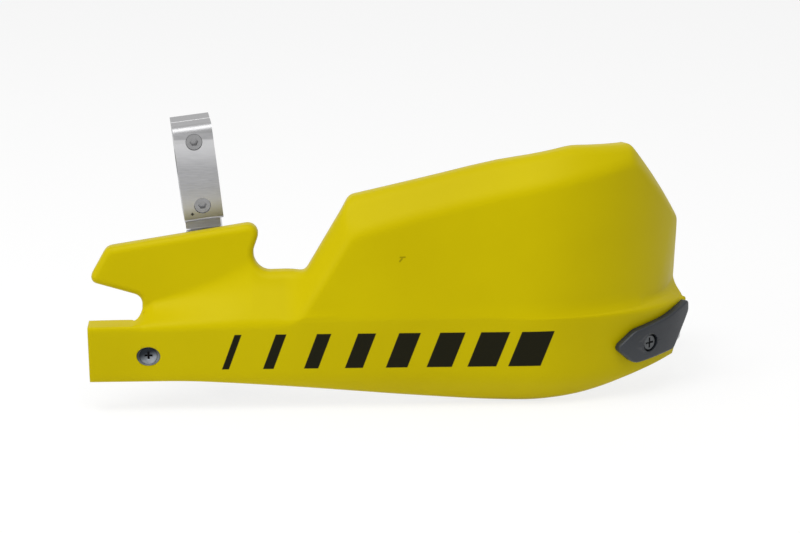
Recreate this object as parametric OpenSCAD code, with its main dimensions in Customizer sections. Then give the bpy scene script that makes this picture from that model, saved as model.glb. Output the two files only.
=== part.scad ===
// Hand guard for a motorcycle: a plastic shell over a bent bar, clamped to a 22.2 mm handlebar.
// The origin is the middle of the clamp's bore. +X runs outboard along the guard,
// +Y points back to the rider and +Z up.

/* [Band] */
// Distance from the clamp to the band's inner end
band_in = 56.8; // [50:0.2:62]
// Distance from the bore to the straight front face of the band
band_front = 54; // [48:0.5:64]
// Length of the straight part of the band
straight_run = 233; // [200:1:280]
// How far the band's outer end is cut back at its foot
end_rake = 9; // [7:0.5:11]
// Radius of the bend round the end of the grip, at the front face
bend_r = 110; // [92:1:132]
// How far the band turns round the grip end, in degrees
bend_turn = 57; // [48:1:60]
// Height of the band at its inner end
band_h = 31.8; // [30:0.2:36]
// Extra depth of the belly below the band
belly = 16; // [11:0.5:18]
// Depth of the top flange at the inner end
flange_d = 10.5; // [9:0.5:13]
// Depth of the lip turned in under the band
lip_d = 6; // [5:0.5:8]
// Thickness of the plastic
wall = 2.6; // [2:0.1:3]
// Rounding of the edges along the band
edge_r = 3.6; // [3.2:0.1:4.2]

/* [Wing] */
// Height of the wing over the band's top edge
wing_h = 50; // [42:0.5:59]
// How far the wing's face stands behind the band's face
wing_back = 16; // [14:0.5:19]
// Place of the notch's root along the band
notch_at = 28; // [26:0.2:32]
// Outer end of the wing along the band
wing_end = 93; // [84:0.2:95]
// Height of the floor between wing and shield, over the band's top edge
gap_h = 23.5; // [19:0.5:28]

/* [Shield] */
// Where the shield's inner crease leaves the band
shield_at = 111.3; // [106:0.5:125]
// Height of the shield over the band's top edge
shield_h = 88; // [73:1:104]
// How far the top crease bows up between its ends
crease_bow = 4.6; // [3:0.2:6]
// How far the shield reaches past the band's outer end
shield_over = 11; // [9:0.5:13]
// Slope of the main face, back over up
face_lean = 0.12; // [0.1:0.01:0.14]
// Slope of the top face behind its crease
top_fall = 0.8; // [0.66:0.02:0.96]
// Depth of the ledge at the shield's outer foot
ledge_d = 7.5; // [6:0.5:9]
// Radius of the rolled rim
rim_r = 3.5; // [3.2:0.1:4.2]
// Depth of the rim that is turned back
rim_d = 7; // [6:0.5:8]

/* [Backbone] */
// Height of the flat bar
bar_h = 22; // [18:0.5:22]
// Thickness of the flat bar
bar_t = 6; // [5:0.5:7]
// Height of the bar's middle under the bore
bar_drop = 90.4; // [89.8:0.2:91]
// Radius of the tight bend beyond the shell
tail_r = 28; // [24:1:32]
// Overlap of the bar beyond the inner mount bolt
bar_in = 50; // [46:0.5:53]

/* [Clamp] */
// Diameter of the handlebar
tube_d = 22.2; // [22:0.1:28.6]
// Wall of the clamp between the bore and the flat land over the upper screw
clamp_wall = 3.9; // [3.2:0.1:5.5]
// Width of the clamp along the handlebar
clamp_w = 21; // [17:0.5:24]
// Height of each half of the clamp
clamp_h = 52.5; // [52:0.5:60]
// How far the clamp's face swells below that land
clamp_swell = 3.5; // [2.5:0.5:4.5]
// Distance between the two clamp screws
screw_span = 35; // [33.5:0.5:38]
// Gap between the clamp's halves
split = 1; // [0.8:0.1:1.4]
// Slope of the handlebar through the clamp, in degrees
bar_roll = 6.1; // [4:0.1:7]
// Backward sweep of the handlebar through the clamp, in degrees
bar_sweep = 6; // [3:0.5:8]
// Diameter of the clamp screws
clamp_screw_d = 5; // [4:0.5:5]
// Diameter of their heads
clamp_head_d = 8.5; // [8:0.5:9.5]

/* [Arm] */
// Thickness of the arm
arm_t = 10; // [8:0.5:12]
// Drop from the bore to the top of the arm's step
step_drop = 35; // [34:0.5:38]
// Distance from the bore to the arm's front face
arm_front = 23; // [21:0.5:24]
// Diameter of the mount bolt
bolt_d = 8; // [7:0.5:8]

/* [Bar end] */
// Distance of the bar end behind the clamp
eye_back = 52; // [48:1:58]
// Distance of the bar end outboard of the clamp
eye_out = 254; // [250:0.5:256]
// Drop from the clamp to the bar end
eye_drop = 64.5; // [60.5:0.5:68.5]
// Width of the eye at the end of the backbone
eye_d = 26; // [24:0.5:28]
// Backward sweep of the grip, in degrees
grip_sweep = 13.5; // [11:0.5:16]
// Downward slope of the grip, in degrees
grip_slope = 18; // [15:0.5:21]
// Inner diameter of the handlebar's end
tube_bore = 18; // [16:0.5:18.2]
// Length of the sleeve in the handlebar's end
sleeve_l = 30; // [24:1:36]
// Diameter of the bar end bolt
end_bolt_d = 8; // [7:0.5:8]

/* [Plastic fixings] */
// Diameter of the two screws through the plastic
guard_screw_d = 5; // [4:0.5:5.5]
// Place of the inner screw along the band
guard_screw_at = 31.6; // [30:0.2:33]
// Diameter of the inner screw's head
guard_head_d = 11.6; // [10:0.2:12]
// Distance of the skid plate's screw from the band's outer end
skid_screw_in = 37; // [34:0.5:39]
// Diameter of the skid plate's screw head
skid_head_d = 9.6; // [9:0.2:10.4]
// Height of the skid plate over the band's face
skid_t = 4.6; // [4:0.1:6]

/* [Hidden] */
$fn = 64;

clear = 0.2;
eps = 0.01;
bend_run = bend_r * bend_turn * PI / 180;
run = straight_run + bend_run;

// Path of the band's top crease, seen from above: s runs along it from the inner end,
// d is measured out from it, square to the path.
function heading(s) = max(0, s - straight_run) / bend_r * 180 / PI;
function path_x(s) = -band_in + min(s, straight_run) + bend_r * sin(heading(s));
function path_y(s) = -band_front + bend_r * (1 - cos(heading(s)));
function spot(p) = [
    path_x(p[0]) + p[2] * sin(heading(p[0])),
    path_y(p[0]) - p[2] * cos(heading(p[0])),
    p[1]
];

// Heights of the band's lines, from its inner end to its outer end
crease_top = -74.1;
band_bottom = crease_top - band_h;
function share(s) = s / run;
function crease_z(s) =
    crease_top + lookup(share(s), [[0, 0], [0.3, 1.5], [0.6, 2.5], [0.8, 1.7], [1, -1.3]]);
function under_z(s) = band_bottom + 2.8
    - lookup(share(s), [
        [0, 0], [0.18, 0.1], [0.33, 1], [0.6, 2.9], [0.7, 3.5], [0.81, 4.6],
        [0.9, 4.6], [0.95, 3.5], [1, 1.8]
    ]);
function bottom_z(s) = band_bottom
    - belly * lookup(share(s), [
        [0, 0], [0.15, -0.01], [0.22, 0.1], [0.33, 0.32], [0.49, 0.68], [0.61, 0.91],
        [0.69, 0.97], [0.77, 0.83], [0.83, 0.57], [0.88, 0.33], [0.94, 0.11], [1, 0.01]
    ]);
band_tuck = 0.1;
rake_run = 60;
under_slope = 0.6;
function face_d(s, z) = -band_tuck * (crease_z(s) - z);
function under_d(s, z) = face_d(s, under_z(s)) - under_slope * (under_z(s) - z);

// Faces over the band: each gives the depth d at a place (s, z), and they are blended
// by soft maximum and minimum so that their creases are rounded.
function soft_max(a, b, r) = max(a, b) + pow(max(0, 1 - abs(a - b) / r), 2) * r / 4;
function soft_min(a, b, r) = -soft_max(-a, -b, r);
flange_rise = 0.9;
flange_slope = flange_d / flange_rise;
flange_angle = atan(flange_slope);
function ramp_angle(s) = lookup(s, [
    [notch_at - 5, flange_angle], [notch_at + 6, 66], [wing_end - 6, 37.5],
    [shield_at + 20, 37.5], [shield_at + 70, 62]
]);
function ramp_d(s, z) = -tan(ramp_angle(s)) * max(z - crease_z(s), -0.5);
wing_lean = 0.11;
wing_foot = crease_top + 6;
function wing_d(s, z) = -wing_back - wing_lean * (z - wing_foot) - 0.6 * max(0, s - wing_end - 17);
function wing_foot_z(s) = crease_z(s)
    + (wing_back + wing_lean * (crease_z(s) - wing_foot)) / (tan(ramp_angle(s)) - wing_lean);

// Corners of the shield's main face, as [s, z]
shield_run = run - shield_at;
function on_shield(u, v) = [
    shield_at + u * shield_run,
    crease_z(shield_at + u * shield_run) + v * shield_h
];
face_foot = on_shield(0, 0.01);
face_top = on_shield(0.122, 0.52);
top_corner = on_shield(0.83, 0.915);
outer_corner = [run + shield_over - 4.5, crease_z(run) + 0.49 * shield_h];
outer_foot = [run - 16, crease_z(run) + 0.06 * shield_h];
function top_crease_z(s) =
    let (t = min(max((s - face_top[0]) / (top_corner[0] - face_top[0]), 0), 1))
    between(face_top[1], top_corner[1], t) + 4 * crease_bow * t * (1 - t);
function on_top_crease(t) =
    let (s = between(face_top[0], top_corner[0], t)) [s, top_crease_z(s)];
function beyond(p, a, b) = ((p[1] - a[1]) * (b[0] - a[0]) - (p[0] - a[0]) * (b[1] - a[1])) / norm(b - a);
function ledge(s) = ledge_d * lookup(share(s), [[0.56, 0], [0.74, 0.18], [0.88, 0.55], [1, 1]]);
function lean(s) = face_lean * lookup(share(s), [[0.68, 1], [1, 0.45]]);
inner_fall = 1;
outer_top_fall = 0.68;
outer_fall = 0.2;
function main_d(s, z) = -ledge(s) - lean(s) * (z - crease_z(s));
function past_crease(s, z) = soft_min(
    soft_min(
        soft_min(0, -inner_fall * beyond([s, z], face_foot, face_top), 3),
        -top_fall * (z - top_crease_z(s)),
        3
    ),
    soft_min(
        -outer_top_fall * beyond([s, z], top_corner, outer_corner),
        -outer_fall * beyond([s, z], outer_corner, outer_foot),
        1
    ),
    2
);
function shield_d(s, z) = main_d(s, z) + past_crease(s, z);
function depth(s, z) = min(0, soft_max(soft_max(ramp_d(s, z), wing_d(s, z), 6), shield_d(s, z), 5));

// Free edge of the shell from the flange round the wing and the shield, as [s, z, radius]
function over(s, h) = [s, crease_z(s) + h];
function rounded(p, r) = [p[0], p[1], r];
tip_z = 0.404 * wing_h;
edge_corners = [
    rounded(over(0, flange_rise), 0),
    rounded(over(notch_at, flange_rise), 5),
    rounded(over(notch_at, 0.23 * wing_h), 5.5),
    rounded(over(-1.7, tip_z), 3.6),
    rounded(over(notch_at - 18.6, 0.76 * wing_h), 6),
    rounded(over(wing_end, wing_h), 5.5),
    rounded(over(wing_end - 5.4, 0.7 * wing_h), 9),
    rounded(over(wing_end - 5.4, gap_h), 9),
    rounded(over(shield_at + 3.6, gap_h + 0.3), 5),
    rounded(on_shield(0.118, 0.713), 7),
    rounded(on_shield(0.46, 0.92), 300),
    rounded(on_shield(0.67, 1.002), 60),
    rounded(on_shield(0.856, 1.006), 7),
    rounded([run + shield_over + 1, crease_z(run) + 0.53 * shield_h], 6),
    rounded([run + shield_over + 1, crease_z(run) + 0.08 * shield_h], 5),
    rounded(over(run, 1.6), 0)
];
arc_step = 18;
function unit(v) = v / norm(v);
function flat(p) = [p[0], p[1]];
function bearing(v) = atan2(v[1], v[0]);
function turn_between(a, b) = let (t = b - a) t > 180 ? t - 360 : t < -180 ? t + 360 : t;
function corner_arc(list, k, step = arc_step) =
    let (
        p = flat(list[k]),
        u = unit(flat(list[k - 1]) - p),
        v = unit(flat(list[k + 1]) - p),
        r = list[k][2],
        half = acos(u * v) / 2,
        middle = p + unit(u + v) * r / sin(half),
        from = bearing(p + u * r / tan(half) - middle),
        sweep = turn_between(from, bearing(p + v * r / tan(half) - middle)),
        steps = 2 * ceil(abs(sweep) / step / 2)
    )
    [for (j = [0:steps]) middle + r * [cos(from + sweep * j / steps), sin(from + sweep * j / steps)]];
last_corner = len(edge_corners) - 1;
edge_arcs = [
    for (k = [0:last_corner])
        k == 0 || k == last_corner ? [flat(edge_corners[k])] : corner_arc(edge_corners, k)
];
edge_line = [for (arc = edge_arcs) for (p = arc) p];
function step_after(list, k) = k + 1 < len(list) ? norm(list[k + 1] - list[k]) : 0;
function running(list) = [
    for (k = 0, at = 0; k < len(list); at = at + step_after(list, k), k = k + 1)
        [at, k]
];
edge_at = running(edge_line);
function points_before(k) = k == 0 ? 0 : points_before(k - 1) + len(edge_arcs[k - 1]);
corner_at = [
    for (k = [0:last_corner]) edge_at[points_before(k) + floor((len(edge_arcs[k]) - 1) / 2)][0]
];
edge_s = [for (k = [0:len(edge_line) - 1]) [edge_at[k][0], edge_line[k][0]]];
edge_z = [for (k = [0:len(edge_line) - 1]) [edge_at[k][0], edge_line[k][1]]];
function edge_point(at) = [lookup(at, edge_s), lookup(at, edge_z)];
function edge_in(at) = let (t = unit(edge_point(at + 1) - edge_point(at - 1))) [t[1], -t[0]];
function corner_place(c) = lookup(c, [for (k = [0:last_corner]) [k, corner_at[k]]]);

// Stations along the shell: [place on the crease, foot of the face above, ridge, corner number
// on the free edge, share of the rim, columns to the next station]
function foot_on_wing(s) = [s, wing_foot_z(s)];
function foot_on_shield(s) = over(s, max(1.2, ledge(s) / 1.9));
stations = [
    [0, over(0, 0.3 * flange_rise), over(0, 0.6 * flange_rise), 0, 0.03, 3],
    [
        notch_at - 5, over(notch_at - 5, 0.3 * flange_rise), over(notch_at - 5, 0.6 * flange_rise),
        0.856, 0.03, 3
    ],
    [notch_at - 1.1, over(notch_at - 0.7, 1.1), over(notch_at - 1, 1.5), 1, 0.1, 3],
    [notch_at + 3.5, foot_on_wing(notch_at + 3.5), over(notch_at + 2.8, 0.125 * wing_h), 1.5, 0.6, 4],
    [notch_at + 9, foot_on_wing(notch_at + 9), over(notch_at + 4, 0.31 * wing_h), 2, 1, 5],
    [notch_at + 13, foot_on_wing(notch_at + 13), over(notch_at + 3, 0.425 * wing_h), 3, 1, 6],
    [notch_at + 23, foot_on_wing(notch_at + 23), over(notch_at + 12, 0.62 * wing_h), 4, 1, 8],
    [wing_end - 7, foot_on_wing(wing_end - 11), over(wing_end - 13, 0.8 * wing_h), 5, 1, 5],
    [wing_end - 4, over(wing_end - 8, 0.9 * gap_h), over(wing_end - 10, 0.62 * wing_h), 6, 1, 4],
    [wing_end + 1, over(wing_end - 2, 0.5 * gap_h), over(wing_end - 3.5, 0.8 * gap_h), 7, 1, 6],
    [shield_at, foot_on_shield(shield_at + 0.5), over(shield_at + 0.8, 5), 8, 1, 6],
    [face_top[0], foot_on_shield(face_top[0]), face_top, 9, 1, 5],
    for (k = [[0.2, 9.4], [0.4, 9.85], [0.6, 10.4], [0.8, 11]])
        let (p = on_top_crease(k[0])) [p[0], foot_on_shield(p[0]), p, k[1], 1, 5],
    [top_corner[0], foot_on_shield(top_corner[0]), top_corner, 12, 1, 8],
    [on_shield(0.835592, 0)[0], foot_on_shield(on_shield(0.835592, 0)[0]), outer_corner, 13, 1, 6],
    [run - 24, foot_on_shield(run - 23), outer_foot, 13.5, 1, 5],
    [run - 7, foot_on_shield(run - 7), over(run - 2, 7), 14, 0.5, 4],
    [run, over(run - 1.2, 1), over(run - 0.7, 1.35), 15, 0.03, 0]
];
function mixed(k, t) = [
    for (j = [0:4]) j == 3
        ? corner_place(stations[k][3]) * (1 - t) + corner_place(stations[k + 1][3]) * t
        : stations[k][j] * (1 - t) + stations[k + 1][j] * t
];
columns = [
    for (k = [0:len(stations) - 2]) for (j = [0:stations[k][5] - 1]) mixed(k, j / stations[k][5]),
    mixed(len(stations) - 2, 1)
];

// One column of the outer surface, from the lip under the band up to the free edge
function at_depth(p, back = 0) = [p[0], p[1], depth(p[0], p[1]) - back];
function between(a, b, t) = a * (1 - t) + b * t;
function toward(a, b, step) = a + unit(b - a) * min(step, 0.42 * norm(b - a));
function softened(a, corner, b) = (a + 2 * corner + b) / 4;
function column(c) =
    let (
        s = c[0],
        crease = [s, crease_z(s), 0],
        low = s - end_rake * max(0, 1 - (run - s) / rake_run),
        under = [low, under_z(s), face_d(s, under_z(s))],
        bottom = [low, bottom_z(s), under_d(s, bottom_z(s))],
        lip = bottom - [0, 0, lip_d],
        foot = c[1],
        ridge = c[2],
        edge = edge_point(c[3]),
        roll = rim_r * c[4],
        inset = edge + edge_in(c[3]) * roll,
        foot_p = at_depth(foot),
        below = toward(crease, under, edge_r),
        above = toward(crease, foot_p, edge_r),
        base = depth(edge[0], edge[1])
    )
    [
        lip,
        toward(bottom, lip, edge_r),
        softened(toward(bottom, lip, edge_r), bottom, toward(bottom, under, edge_r)),
        toward(bottom, under, edge_r),
        under,
        between(under, crease, 0.5),
        below,
        softened(below, crease, above),
        above,
        at_depth(between(flat(above), foot, 0.55)),
        foot_p,
        at_depth(between(foot, ridge, 0.5)),
        at_depth(toward(ridge, foot, 2.5)),
        at_depth(ridge),
        at_depth(toward(ridge, inset, 2.5)),
        at_depth(between(ridge, inset, 0.55)),
        at_depth(inset),
        [edge[0], edge[1], base] + [for (v = edge_in(c[3])) v * roll * 0.29, -0.29 * roll],
        [edge[0], edge[1], base - roll],
        [edge[0], edge[1], base - rim_d * c[4] - 0.4]
    ];
grid = [for (c = columns) column(c)];
outer = [for (points = grid) [for (p = points) spot(p)]];
cols = len(outer);
rows = len(outer[0]);
first_face_row = 9;
last_face_row = 16;
normal_step = 0.8;
function clamp_to(k, n) = min(max(k, 0), n - 1);
function face_normal(p) = unit(cross(
    spot(at_depth(p + [normal_step, 0])) - spot(at_depth(p - [normal_step, 0])),
    spot(at_depth(p + [0, normal_step])) - spot(at_depth(p - [0, normal_step]))
));
function grid_normal(i, j) = unit(cross(
    outer[clamp_to(i + 1, cols)][j] - outer[clamp_to(i - 1, cols)][j],
    outer[i][clamp_to(j + 1, rows)] - outer[i][clamp_to(j - 1, rows)]
));
function normal_at(i, j) =
    j < first_face_row ? grid_normal(i, j)
    : j <= last_face_row ? face_normal(flat(grid[i][j]))
    : unit(between(face_normal(flat(grid[i][j])), grid_normal(i, j), columns[i][4]));
inner = [for (i = [0:cols - 1]) [for (j = [0:rows - 1]) outer[i][j] - wall * normal_at(i, j)]];
function index(i, j, side) = (side * cols + i) * rows + j;
function quad(a, b, c, d) = [[a, b, c], [a, c, d]];

module guard_shell() {
    points = [for (side = [outer, inner]) for (row = side) for (p = row) p];
    faces = [
        for (i = [0:cols - 2]) for (j = [0:rows - 2])
            each quad(index(i, j, 0), index(i, j + 1, 0), index(i + 1, j + 1, 0), index(i + 1, j, 0)),
        for (i = [0:cols - 2]) for (j = [0:rows - 2])
            each quad(index(i, j, 1), index(i + 1, j, 1), index(i + 1, j + 1, 1), index(i, j + 1, 1)),
        for (i = [0:cols - 2])
            each quad(index(i, 0, 0), index(i + 1, 0, 0), index(i + 1, 0, 1), index(i, 0, 1)),
        for (i = [0:cols - 2])
            each quad(index(i, rows - 1, 0), index(i, rows - 1, 1),
                index(i + 1, rows - 1, 1), index(i + 1, rows - 1, 0)),
        for (j = [0:rows - 2])
            each quad(index(0, j, 0), index(0, j, 1), index(0, j + 1, 1), index(0, j + 1, 0)),
        for (j = [0:rows - 2])
            each quad(index(cols - 1, j, 0), index(cols - 1, j + 1, 0),
                index(cols - 1, j + 1, 1), index(cols - 1, j, 1))
    ];
    color("#c4b400") difference() {
        polyhedron(points, faces);
        at_guard_screw() bore(cup_r + clear / 2, -bar_d - 1, 1);
        at_skid_screw() bore(guard_screw_d / 2 + 2 * clear, -bar_d - 1, skid_t);
    }
}

// Places along the path: -Y of each points out of the band, square to it
module on_path(s, z) {
    translate([path_x(s), path_y(s), z]) rotate([0, 0, heading(s)]) children();
}
// A cylinder along Y of what is on the path, from depth d0 out to depth d1
module bore(r, d0, d1) {
    translate([0, -d0, 0]) rotate([90, 0, 0]) cylinder(r = r, h = d1 - d0);
}
module cone(r0, r1, d0, d1) {
    translate([0, -d0, 0]) rotate([90, 0, 0]) cylinder(r1 = r0, r2 = r1, h = d1 - d0);
}
module at_guard_screw() { on_path(guard_screw_at, -bar_drop) children(); }
module at_skid_screw() { on_path(run - skid_screw_in, skid_screw_z) children(); }

// Backbone: the bar's front face lies bar_d behind the path
face_back = band_tuck * (bar_drop + crease_top);
bar_d = wall + band_tuck * (bar_h / 2 + bar_drop + crease_top) + 2 * clear;
bar_back = bar_d + bar_t;
tail_turn = 90 + grip_sweep;
bend_step = 3;
bolt_x = bar_drop * tan(bar_roll);
countersink_d = 15;
countersink_h = (countersink_d - bolt_d) / 2;
end_heading = bend_turn;
function out_of(h) = [sin(h), -cos(h)];
tail_middle = [path_x(run), path_y(run)] - out_of(end_heading) * (bar_d + tail_r);
bar_start = band_in - bar_in + bar_h / 2;
bend_steps = ceil(bend_turn / bend_step);
tail_steps = ceil((tail_turn - bend_turn) / bend_step);
function bar_side(d) = concat(
    [[path_x(bar_start), path_y(bar_start) + d]],
    [
        for (k = [0:bend_steps])
            let (s = straight_run + bend_run * k / bend_steps)
                [path_x(s), path_y(s)] - out_of(heading(s)) * d
    ],
    [
        for (k = [1:tail_steps])
            tail_middle + out_of(bend_turn + (tail_turn - bend_turn) * k / tail_steps) * (tail_r + bar_d - d)
    ]
);
function reversed(list) = [for (k = [len(list) - 1:-1:0]) list[k]];
tail_end = tail_middle + out_of(tail_turn) * (tail_r - bar_t / 2);
eye_h = bar_t + 2;

module at_eye() {
    translate([eye_out, eye_back, -eye_drop]) rotate([0, grip_slope, grip_sweep]) children();
}
// A cylinder along the grip, from x0 outboard to x1
module grip_rod(r, x0, x1) {
    translate([x0, 0, 0]) rotate([0, 90, 0]) cylinder(r = r, h = x1 - x0);
}
module grip_cone(r0, r1, x0, x1) {
    translate([x0, 0, 0]) rotate([0, 90, 0]) cylinder(r1 = r0, r2 = r1, h = x1 - x0);
}
neck_angle = 35;
neck_l = eye_d / 2 + 4;
module at_neck() {
    at_eye() rotate([neck_angle, 0, 0]) translate([0, -neck_l, 0]) children();
}
module backbone() {
    color("#8d9095") difference() {
        union() {
            translate([0, 0, -bar_drop - bar_h / 2]) linear_extrude(bar_h)
                polygon(concat(bar_side(bar_d), reversed(bar_side(bar_back))));
            on_path(bar_start, -bar_drop) bore(bar_h / 2, -bar_back, -bar_d);
            hull() {
                translate([tail_end[0], tail_end[1], -bar_drop]) rotate([0, 0, tail_turn])
                    cube([1, bar_t, bar_h], center = true);
                at_neck() cube([bar_t, 1, bar_h], center = true);
            }
            hull() {
                at_neck() cube([bar_t, 1, bar_h], center = true);
                at_eye() grip_rod(eye_d / 2 - 1, -bar_t / 2, bar_t / 2);
            }
            at_eye() grip_rod(eye_d / 2, -eye_h / 2, eye_h / 2);
        }
        at_eye() grip_rod(end_bolt_d / 2 + clear, -eye_h, eye_h);
        at_guard_screw() bore(guard_screw_d / 2 + clear, -bar_back - 1, 0);
        at_skid_screw() bore(guard_screw_d / 2 + clear, -bar_back - 1, 0);
        on_path(band_in + bolt_x, -bar_drop) {
            bore(bolt_d / 2 + clear, -bar_back - 1, 0);
            cone(bolt_d / 2 + clear, countersink_d / 2 + clear, -bar_d - countersink_h, -bar_d);
            bore(countersink_d / 2 + clear, -bar_d, 0);
        }
    }
}

// Clamp: its own frame follows the handlebar, with the bore along X; the arm's frame only slopes
land_d = tube_d / 2 + clamp_wall;
head_h = clamp_screw_d;
bracket_grip = land_d - 2;
leg_drop = bar_drop / cos(bar_roll);
boss_r = clamp_w / 2 + 1;
boss_face = 0.5;
arm_back = arm_front - arm_t;
module at_clamp() { rotate([0, 0, bar_sweep]) rotate([0, -bar_roll, 0]) children(); }
module at_arm() { rotate([0, -bar_roll, 0]) children(); }
module clamp_slice(outline, width = clamp_w) {
    rotate([90, 0, 90]) linear_extrude(width, center = true) polygon(outline);
}
function closed_outline(list, step = arc_step) = [
    for (k = [0:len(list) - 1])
        each list[k][2] == 0
            ? [flat(list[k])]
            : corner_arc(concat([list[len(list) - 1]], list, [list[0]]), k + 1, step)
];
clamp_step = 5;
swell_r = 45;
module clamp_half(side, top_r) {
    difference() {
        clamp_slice(closed_outline([
            [side * split / 2, -clamp_h / 2, 0.5], [side * land_d, -clamp_h / 2, 2.5],
            [side * (land_d + clamp_swell), 0, swell_r], [side * land_d, screw_span / 2, 2],
            [side * land_d, clamp_h / 2, top_r], [side * split / 2, clamp_h / 2, 0.5]
        ], clamp_step));
        translate([-clamp_w, 0, 0]) rotate([0, 90, 0]) cylinder(d = tube_d, h = 2 * clamp_w, $fn = 96);
    }
}
module clamp_cap() {
    color("#c9cacb") at_clamp() difference() {
        clamp_half(-1, 4.5);
        for (z = [-screw_span / 2, screw_span / 2]) translate([0, 0, z]) {
            bore(clamp_screw_d / 2 + clear, -1, land_d);
            bore(clamp_head_d / 2 + clear, land_d - head_h, land_d + clamp_swell);
        }
    }
}
module clamp_bracket() {
    yaw_room = clamp_w / 2 * sin(bar_sweep) + 0.5;
    arm_in = 0.3 - clamp_w / 2;
    arm_out = clamp_w / 2 - (land_d + 1) * sin(bar_sweep);
    leg_front = arm_front - boss_face;
    leg_back = arm_back + boss_face;
    color("#b9bbbd") difference() {
        union() {
            at_clamp() clamp_half(1, 1.5);
            at_arm() translate([(arm_in + arm_out) / 2, 0, 0]) clamp_slice(closed_outline([
                [split / 2 + yaw_room, -clamp_h / 2 + 6, 0], [split / 2 + yaw_room, -step_drop, 1],
                [-leg_front, -step_drop, 3], [-leg_front, -leg_drop, 0],
                [-leg_back, -leg_drop, 0], [-leg_back, -step_drop - arm_t, 2],
                [land_d - yaw_room, -step_drop - arm_t, 5], [land_d - yaw_room, -clamp_h / 2 + 6, 0]
            ]), arm_out - arm_in);
            at_mount_bolt() bore(boss_r, arm_back, arm_front);
        }
        at_clamp() translate([-clamp_w, 0, 0]) rotate([0, 90, 0])
            cylinder(d = tube_d, h = 2 * clamp_w, $fn = 96);
        at_clamp() for (z = [-screw_span / 2, screw_span / 2]) translate([0, 0, z])
            bore(clamp_screw_d / 2 + clear / 4, -bracket_grip - clear, 1);
        at_mount_bolt() bore(bolt_d / 2 + clear, arm_back - 1, arm_front + 1);
    }
}
module six_sided(width, d0, d1) {
    translate([0, -d0, 0]) rotate([90, 0, 0]) cylinder(d = width / cos(30), h = d1 - d0, $fn = 6);
}
module clamp_screw(z) {
    color("#6f7275") at_clamp() translate([0, 0, z]) difference() {
        union() {
            bore(clamp_head_d / 2, land_d - head_h, land_d - clear);
            bore(clamp_screw_d / 2, -bracket_grip, land_d - head_h + eps);
        }
        six_sided(0.8 * clamp_screw_d, land_d - 0.6 * head_h, land_d + 1);
    }
}
module clamp_screw_upper() { clamp_screw(screw_span / 2); }
module clamp_screw_lower() { clamp_screw(-screw_span / 2); }

// Mount bolt through backbone, spacer and arm
washer_t = 1.6;
nut_h = 0.8 * bolt_d;
nut_w = 1.6 * bolt_d;
spacer_r = bolt_d;
bar_front = band_front - bar_d;
module at_mount_bolt() { translate([bolt_x, 0, -bar_drop]) children(); }
module mount_bolt() {
    color("#6f7275") at_mount_bolt() difference() {
        union() {
            cone(bolt_d / 2, countersink_d / 2, bar_front - countersink_h, bar_front);
            bore(bolt_d / 2, arm_back - washer_t - nut_h - 2, bar_front - countersink_h + eps);
        }
        six_sided(0.6 * bolt_d, bar_front - 0.7 * countersink_h, bar_front + 1);
    }
}
module mount_spacer() {
    color("#b9bbbd") at_mount_bolt() difference() {
        bore(spacer_r, arm_front, bar_front - bar_t);
        bore(bolt_d / 2 + clear, arm_front - 1, bar_front);
    }
}
module mount_washer() {
    color("#a5a8ab") at_mount_bolt() difference() {
        bore(1.1 * bolt_d, arm_back - washer_t, arm_back);
        bore(bolt_d / 2 + clear, arm_back - washer_t - 1, arm_back + 1);
    }
}
module mount_nut() {
    color("#8d9095") at_mount_bolt() difference() {
        six_sided(nut_w, arm_back - washer_t - nut_h, arm_back - washer_t);
        bore(bolt_d / 2 + clear / 4, arm_back - washer_t - nut_h - 1, arm_back);
    }
}

// Bar end: bolt, washer, eye and spacer outside the handlebar, sleeve and tapered nut inside it
end_spacer_l = 12;
end_spacer_r = 11;
bar_end_x = -eye_h / 2 - end_spacer_l;
sleeve_r = tube_bore / 2 - 0.15;
sleeve_bore = end_bolt_d / 2 + clear;
mouth_r = sleeve_r - 1.2;
mouth_l = mouth_r - sleeve_bore;
slot_w = 1.6;
slot_l = 0.42 * sleeve_l;
sleeve_end = bar_end_x - sleeve_l;
button_h = 0.55 * end_bolt_d;
end_washer_r = 1.1 * end_bolt_d;
cone_l = mouth_l + 8;
module bar_end_bolt() {
    head_x = eye_h / 2 + washer_t;
    color("#6f7275") at_eye() difference() {
        union() {
            grip_rod(0.87 * end_bolt_d, head_x, head_x + 0.35 * button_h);
            grip_cone(0.87 * end_bolt_d, 0.5 * end_bolt_d, head_x + 0.35 * button_h, head_x + button_h);
            grip_rod(end_bolt_d / 2, sleeve_end - cone_l + mouth_l - 2, head_x + eps);
        }
        translate([head_x + 0.3 * button_h, 0, 0]) rotate([0, 90, 0])
            cylinder(d = 0.6 * end_bolt_d / cos(30), h = button_h, $fn = 6);
    }
}
module bar_end_washer() {
    color("#a5a8ab") at_eye() difference() {
        grip_rod(end_washer_r, eye_h / 2, eye_h / 2 + washer_t);
        grip_rod(sleeve_bore, eye_h / 2 - 1, eye_h / 2 + washer_t + 1);
    }
}
module bar_end_spacer() {
    color("#b9bbbd") at_eye() difference() {
        union() {
            grip_rod(end_spacer_r, bar_end_x, bar_end_x + end_spacer_l / 2);
            grip_cone(end_spacer_r, end_spacer_r - 2, bar_end_x + end_spacer_l / 2, -eye_h / 2);
        }
        grip_rod(sleeve_bore, bar_end_x - 1, 0);
    }
}
module expander_sleeve() {
    color("#8d9095") at_eye() difference() {
        grip_rod(sleeve_r, sleeve_end, bar_end_x);
        grip_rod(sleeve_bore, sleeve_end - 1, bar_end_x + 1);
        grip_cone(mouth_r + clear, sleeve_bore, sleeve_end, sleeve_end + mouth_l + clear);
        for (turn = [0, 90]) rotate([turn, 0, 0])
            translate([sleeve_end - 1, -sleeve_r - 1, -slot_w / 2])
                cube([slot_l + 1, 2 * sleeve_r + 2, slot_w]);
    }
}
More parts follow.
